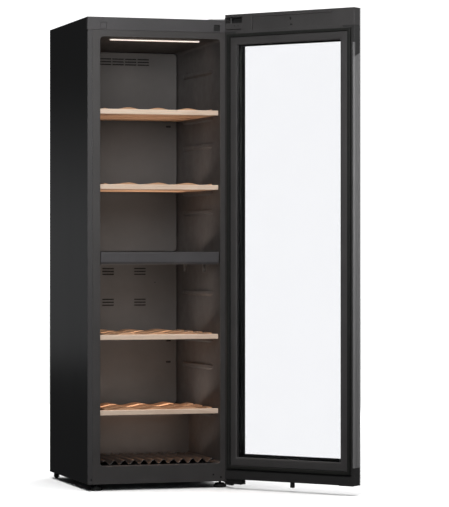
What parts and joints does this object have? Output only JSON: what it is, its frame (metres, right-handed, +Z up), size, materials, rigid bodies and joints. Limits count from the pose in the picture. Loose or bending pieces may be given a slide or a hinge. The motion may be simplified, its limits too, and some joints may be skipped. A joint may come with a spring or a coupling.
{
  "type": "wine cooler",
  "caption": "Tall free-standing two-zone wine cooler with an open glass door, wooden pull-out shelves and a corrugated floor rack.",
  "frame": {"origin": "on the floor, under the centre of the box round the cabinet and the open door", "axes": "+Z up, front towards -Y, right-hand side seen from the front towards +X"},
  "size_m": [0.9683, 1.1434, 1.8795],
  "materials": {
    "base_frame": "satin black",
    "bottle_cradle": "black",
    "ceiling_light": "milky lens",
    "compressor": "satin black",
    "condenser": "satin",
    "condenser_fan": "black",
    "condenser_fan_housing": "black",
    "control_box": "dark grey, fine texture",
    "cord_gland": "matte black",
    "display_module": "black",
    "divider_fascia": "dark grey, fine texture",
    "divider_light": "milky lens",
    "door_bottom_rail": "black",
    "door_gasket": "matte black",
    "door_handle": "satin",
    "door_header": "dark grey, fine texture",
    "front_foot_left": "matte black",
    "front_foot_right": "matte black",
    "front_header": "dark grey, fine texture",
    "glass_spacer": "black",
    "handle_stile": "black",
    "header_cover": "dark grey, fine texture",
    "header_plug": "dark grey, fine texture",
    "hinge_stile": "black",
    "inner_bezel": "dark grey, fine texture",
    "inner_glass": "clear",
    "inner_liner": "dark grey",
    "insulation_floor": "foam",
    "insulation_left": "foam",
    "insulation_rear": "foam",
    "insulation_right": "foam",
    "insulation_top": "foam",
    "lock_barrel": "black",
    "lock_plug": "zinc plated",
    "lower_duct_cover": "dark grey",
    "lower_evaporator": "satin",
    "lower_fan": "black",
    "lower_hinge_block": "black",
    "lower_hinge_bracket": "satin black",
    "outer_glass": "clear",
    "rear_panel": "satin black",
    "rear_roller_left": "black",
    "rear_roller_right": "black",
    "shelf_1_deck": "beech in shade",
    "shelf_1_rail": "beech",
    "shelf_2_deck": "beech in shade",
    "shelf_2_rail": "beech",
    "shelf_3_deck": "beech in shade",
    "shelf_3_rail": "beech",
    "shelf_4_deck": "beech in shade",
    "shelf_4_rail": "beech",
    "side_panel_left": "satin black",
    "side_panel_right": "satin black",
    "top_panel": "satin black",
    "upper_duct_cover": "dark grey",
    "upper_evaporator": "satin",
    "upper_fan": "black",
    "upper_hinge_block": "dark grey, fine texture",
    "upper_hinge_bracket": "satin black",
    "zone_divider": "dark grey"
  },
  "bodies": {
    "cabinet": {"base_frame": "base_frame", "bottle_cradle": "bottle_cradle", "ceiling_light": "ceiling_light", "compressor": "compressor", "condenser": "condenser", "condenser_fan_housing": "condenser_fan_housing", "control_box": "control_box", "cord_gland": "cord_gland", "divider_fascia": "divider_fascia", "divider_light": "divider_light", "front_header": "front_header", "header_plug": "header_plug", "inner_liner": "inner_liner", "insulation_floor": "insulation_floor", "insulation_left": "insulation_left", "insulation_rear": "insulation_rear", "insulation_right": "insulation_right", "insulation_top": "insulation_top", "lower_duct_cover": "lower_duct_cover", "lower_evaporator": "lower_evaporator", "lower_hinge_bracket": "lower_hinge_bracket", "rear_panel": "rear_panel", "side_panel_left": "side_panel_left", "side_panel_right": "side_panel_right", "top_panel": "top_panel", "upper_duct_cover": "upper_duct_cover", "upper_evaporator": "upper_evaporator", "upper_hinge_bracket": "upper_hinge_bracket", "zone_divider": "zone_divider"},
    "door": {"door_header": "door_header", "header_cover": "header_cover", "door_bottom_rail": "door_bottom_rail", "hinge_stile": "hinge_stile", "handle_stile": "handle_stile", "door_handle": "door_handle", "inner_bezel": "inner_bezel", "door_gasket": "door_gasket", "outer_glass": "outer_glass", "inner_glass": "inner_glass", "glass_spacer": "glass_spacer", "display_module": "display_module", "upper_hinge_block": "upper_hinge_block", "lower_hinge_block": "lower_hinge_block", "lock_barrel": "lock_barrel"},
    "shelf_1": {"shelf_1_rail": "shelf_1_rail", "shelf_1_deck": "shelf_1_deck"},
    "shelf_2": {"shelf_2_rail": "shelf_2_rail", "shelf_2_deck": "shelf_2_deck"},
    "shelf_3": {"shelf_3_rail": "shelf_3_rail", "shelf_3_deck": "shelf_3_deck"},
    "shelf_4": {"shelf_4_rail": "shelf_4_rail", "shelf_4_deck": "shelf_4_deck"},
    "foot_left": {"front_foot_left": "front_foot_left"},
    "roller_left": {"rear_roller_left": "rear_roller_left"},
    "foot_right": {"front_foot_right": "front_foot_right"},
    "roller_right": {"rear_roller_right": "rear_roller_right"},
    "upper_fan_rotor": {"upper_fan": "upper_fan"},
    "lower_fan_rotor": {"lower_fan": "lower_fan"},
    "condenser_fan_rotor": {"condenser_fan": "condenser_fan"},
    "lock_core": {"lock_plug": "lock_plug"}
  },
  "joints": [
    {"name": "door_hinge", "type": "hinge", "parent": "cabinet", "child": "door", "pos_m": [0.09455, -0.11225, 0.9], "axis": [0, 0, 1], "range_deg": [-129.5, 5.5]},
    {"name": "shelf_1_slide", "type": "slide", "parent": "cabinet", "child": "shelf_1", "axis": [0, -1, 0], "range_m": [0, 0.27]},
    {"name": "shelf_2_slide", "type": "slide", "parent": "cabinet", "child": "shelf_2", "axis": [0, -1, 0], "range_m": [0, 0.27]},
    {"name": "shelf_3_slide", "type": "slide", "parent": "cabinet", "child": "shelf_3", "axis": [0, -1, 0], "range_m": [0, 0.27]},
    {"name": "shelf_4_slide", "type": "slide", "parent": "cabinet", "child": "shelf_4", "axis": [0, -1, 0], "range_m": [0, 0.27]},
    {"name": "foot_left_turn", "type": "hinge", "parent": "cabinet", "child": "foot_left", "pos_m": [-0.44195, -0.04425, 0.01], "axis": [0, 0, 1], "range_deg": [-1080, 1080]},
    {"name": "roller_left_spin", "type": "hinge", "parent": "cabinet", "child": "roller_left", "pos_m": [-0.46695, 0.51975, 0.0115], "axis": [1, 0, 0], "continuous": true},
    {"name": "foot_right_turn", "type": "hinge", "parent": "cabinet", "child": "foot_right", "pos_m": [0.06805, -0.04425, 0.01], "axis": [0, 0, 1], "range_deg": [-1080, 1080]},
    {"name": "roller_right_spin", "type": "hinge", "parent": "cabinet", "child": "roller_right", "pos_m": [0.09305, 0.51975, 0.0115], "axis": [1, 0, 0], "continuous": true},
    {"name": "upper_fan_spin", "type": "hinge", "parent": "cabinet", "child": "upper_fan_rotor", "pos_m": [-0.18695, 0.49375, 1.6], "axis": [0, 1, 0], "continuous": true},
    {"name": "lower_fan_spin", "type": "hinge", "parent": "cabinet", "child": "lower_fan_rotor", "pos_m": [-0.18695, 0.49375, 0.64], "axis": [0, 1, 0], "continuous": true},
    {"name": "condenser_fan_spin", "type": "hinge", "parent": "cabinet", "child": "condenser_fan_rotor", "pos_m": [-0.06695, 0.44425, 0.118], "axis": [0, 1, 0], "continuous": true},
    {"name": "lock_turn", "type": "hinge", "parent": "door", "child": "lock_core", "pos_m": [0.27698, -0.33356, 0.03], "axis": [0, 0, 1], "range_deg": [0, 90]}
  ]
}
